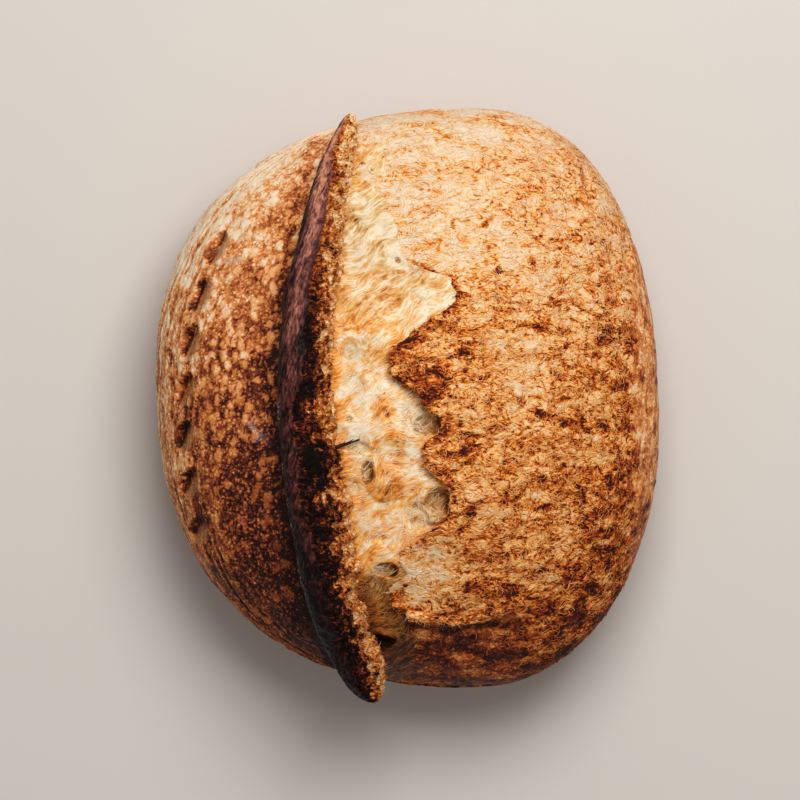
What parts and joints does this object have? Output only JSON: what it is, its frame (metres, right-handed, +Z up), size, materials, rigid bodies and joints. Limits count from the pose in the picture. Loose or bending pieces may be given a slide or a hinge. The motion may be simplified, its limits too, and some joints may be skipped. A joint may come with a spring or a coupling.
{
  "type": "sourdough loaf",
  "caption": "Round-ended crusty loaf with a charred ear standing along one long score, pale torn crumb beside it, a swollen bloom and a flat base.",
  "frame": {"origin": "middle of the flat base that the loaf stands on", "axes": "+Z up, +Y along the loaf towards the end where the bloom is palest, -X towards the side with the ear"},
  "size_m": [0.204, 0.2397, 0.1107],
  "materials": {
    "crust": "matte to satin baked crust, blistered, golden to dark brown",
    "bloom": "matte fibrous torn and toasted crust",
    "charred_ear": "satin, nearly black crust with a rough toasted edge",
    "crumb": "soft matte pale crumb with open bubbles"
  },
  "bodies": {
    "root": {"loaf": "crust"}
  },
  "joints": []
}
